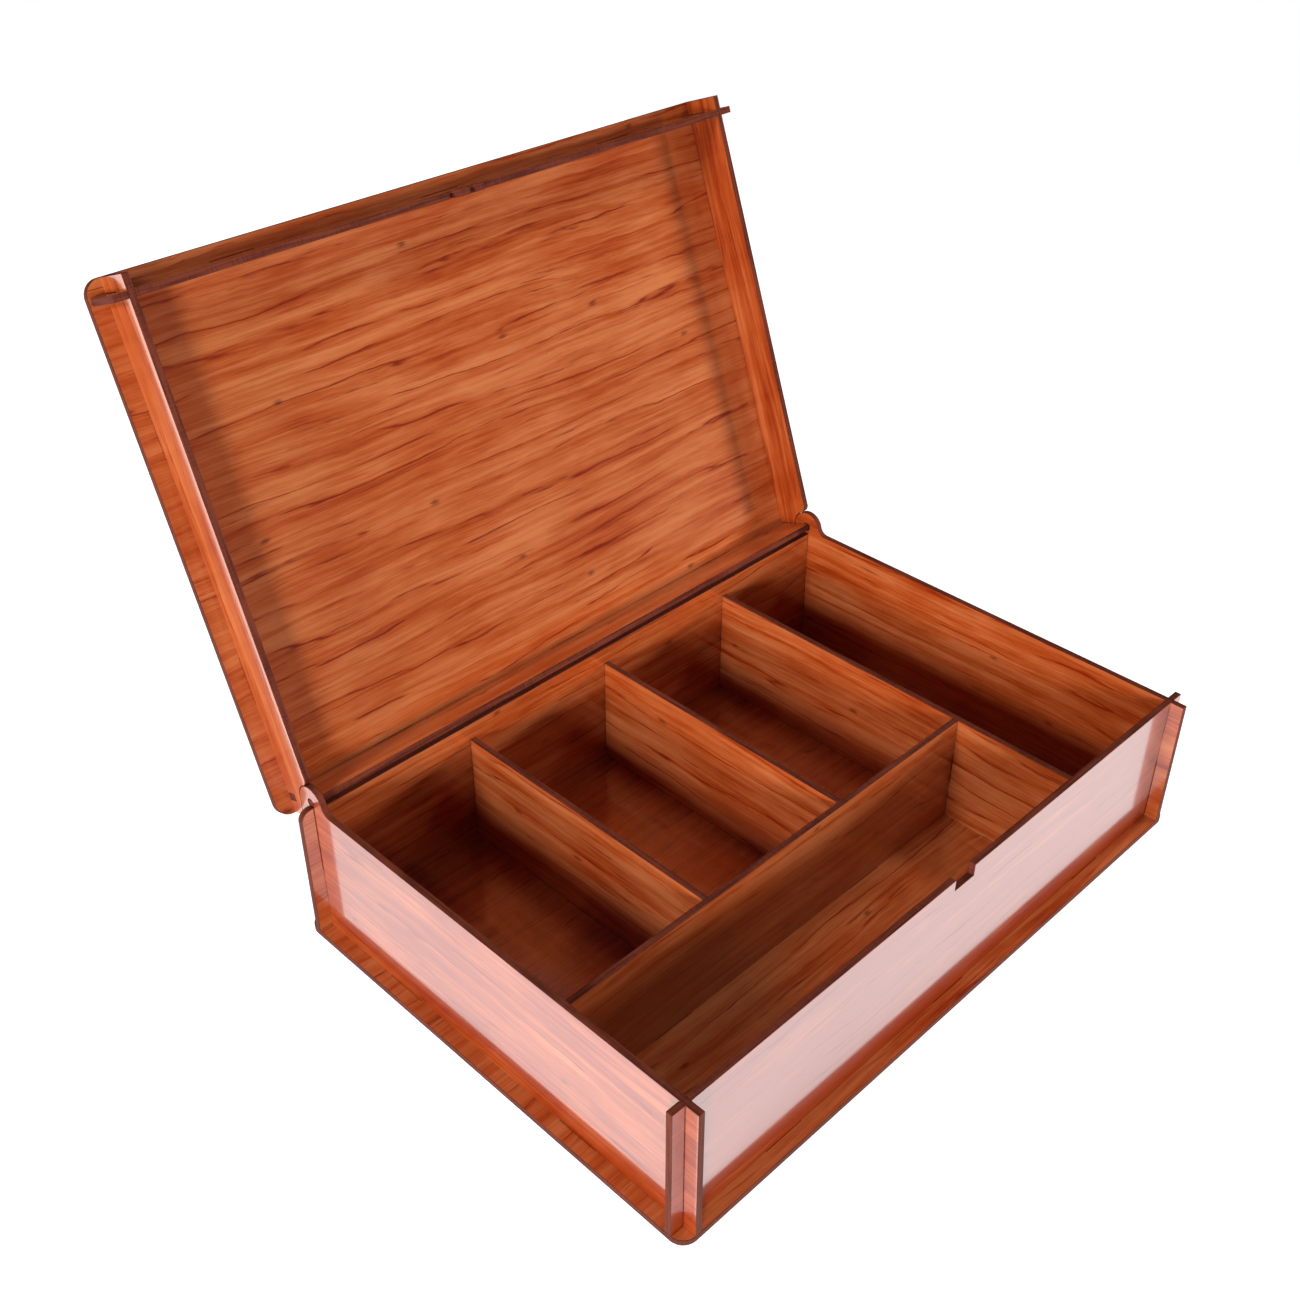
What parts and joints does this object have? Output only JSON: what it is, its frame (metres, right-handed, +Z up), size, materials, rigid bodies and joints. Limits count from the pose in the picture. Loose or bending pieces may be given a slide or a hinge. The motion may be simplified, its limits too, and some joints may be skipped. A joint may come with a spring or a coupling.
{
  "type": "compartment box",
  "caption": "Shallow flat-pack wooden box with upright dividers and a hinged lid whose split tab clips into a notch in the front wall.",
  "frame": {"origin": "underside of the base plate, midway between the outer faces of the side panels and of the front and back walls", "axes": "+X along the tray's width, +Y towards the hinge, +Z up; the front wall with the notch faces -Y; the lid is stored open"},
  "size_m": [0.335, 0.3181, 0.2813],
  "materials": {
    "plates": "oiled, glossy",
    "walls": "oiled, glossy",
    "dividers": "oiled, glossy"
  },
  "bodies": {
    "tray": {"base_plate": "plates", "left_side_panel": "walls", "right_side_panel": "walls", "front_wall": "walls", "back_wall": "walls", "long_divider": "dividers", "full_depth_divider": "dividers", "left_short_divider": "dividers", "right_short_divider": "dividers"},
    "lid": {"lid_plate": "plates", "lid_left_wall": "walls", "lid_right_wall": "walls", "lid_front_wall": "walls", "lid_back_wall": "walls"}
  },
  "joints": [
    {"name": "lid_hinge", "type": "hinge", "parent": "tray", "child": "lid", "pos_m": [0, 0.10725, 0.0718], "axis": [1, 0, 0], "range_deg": [0, 110]}
  ]
}
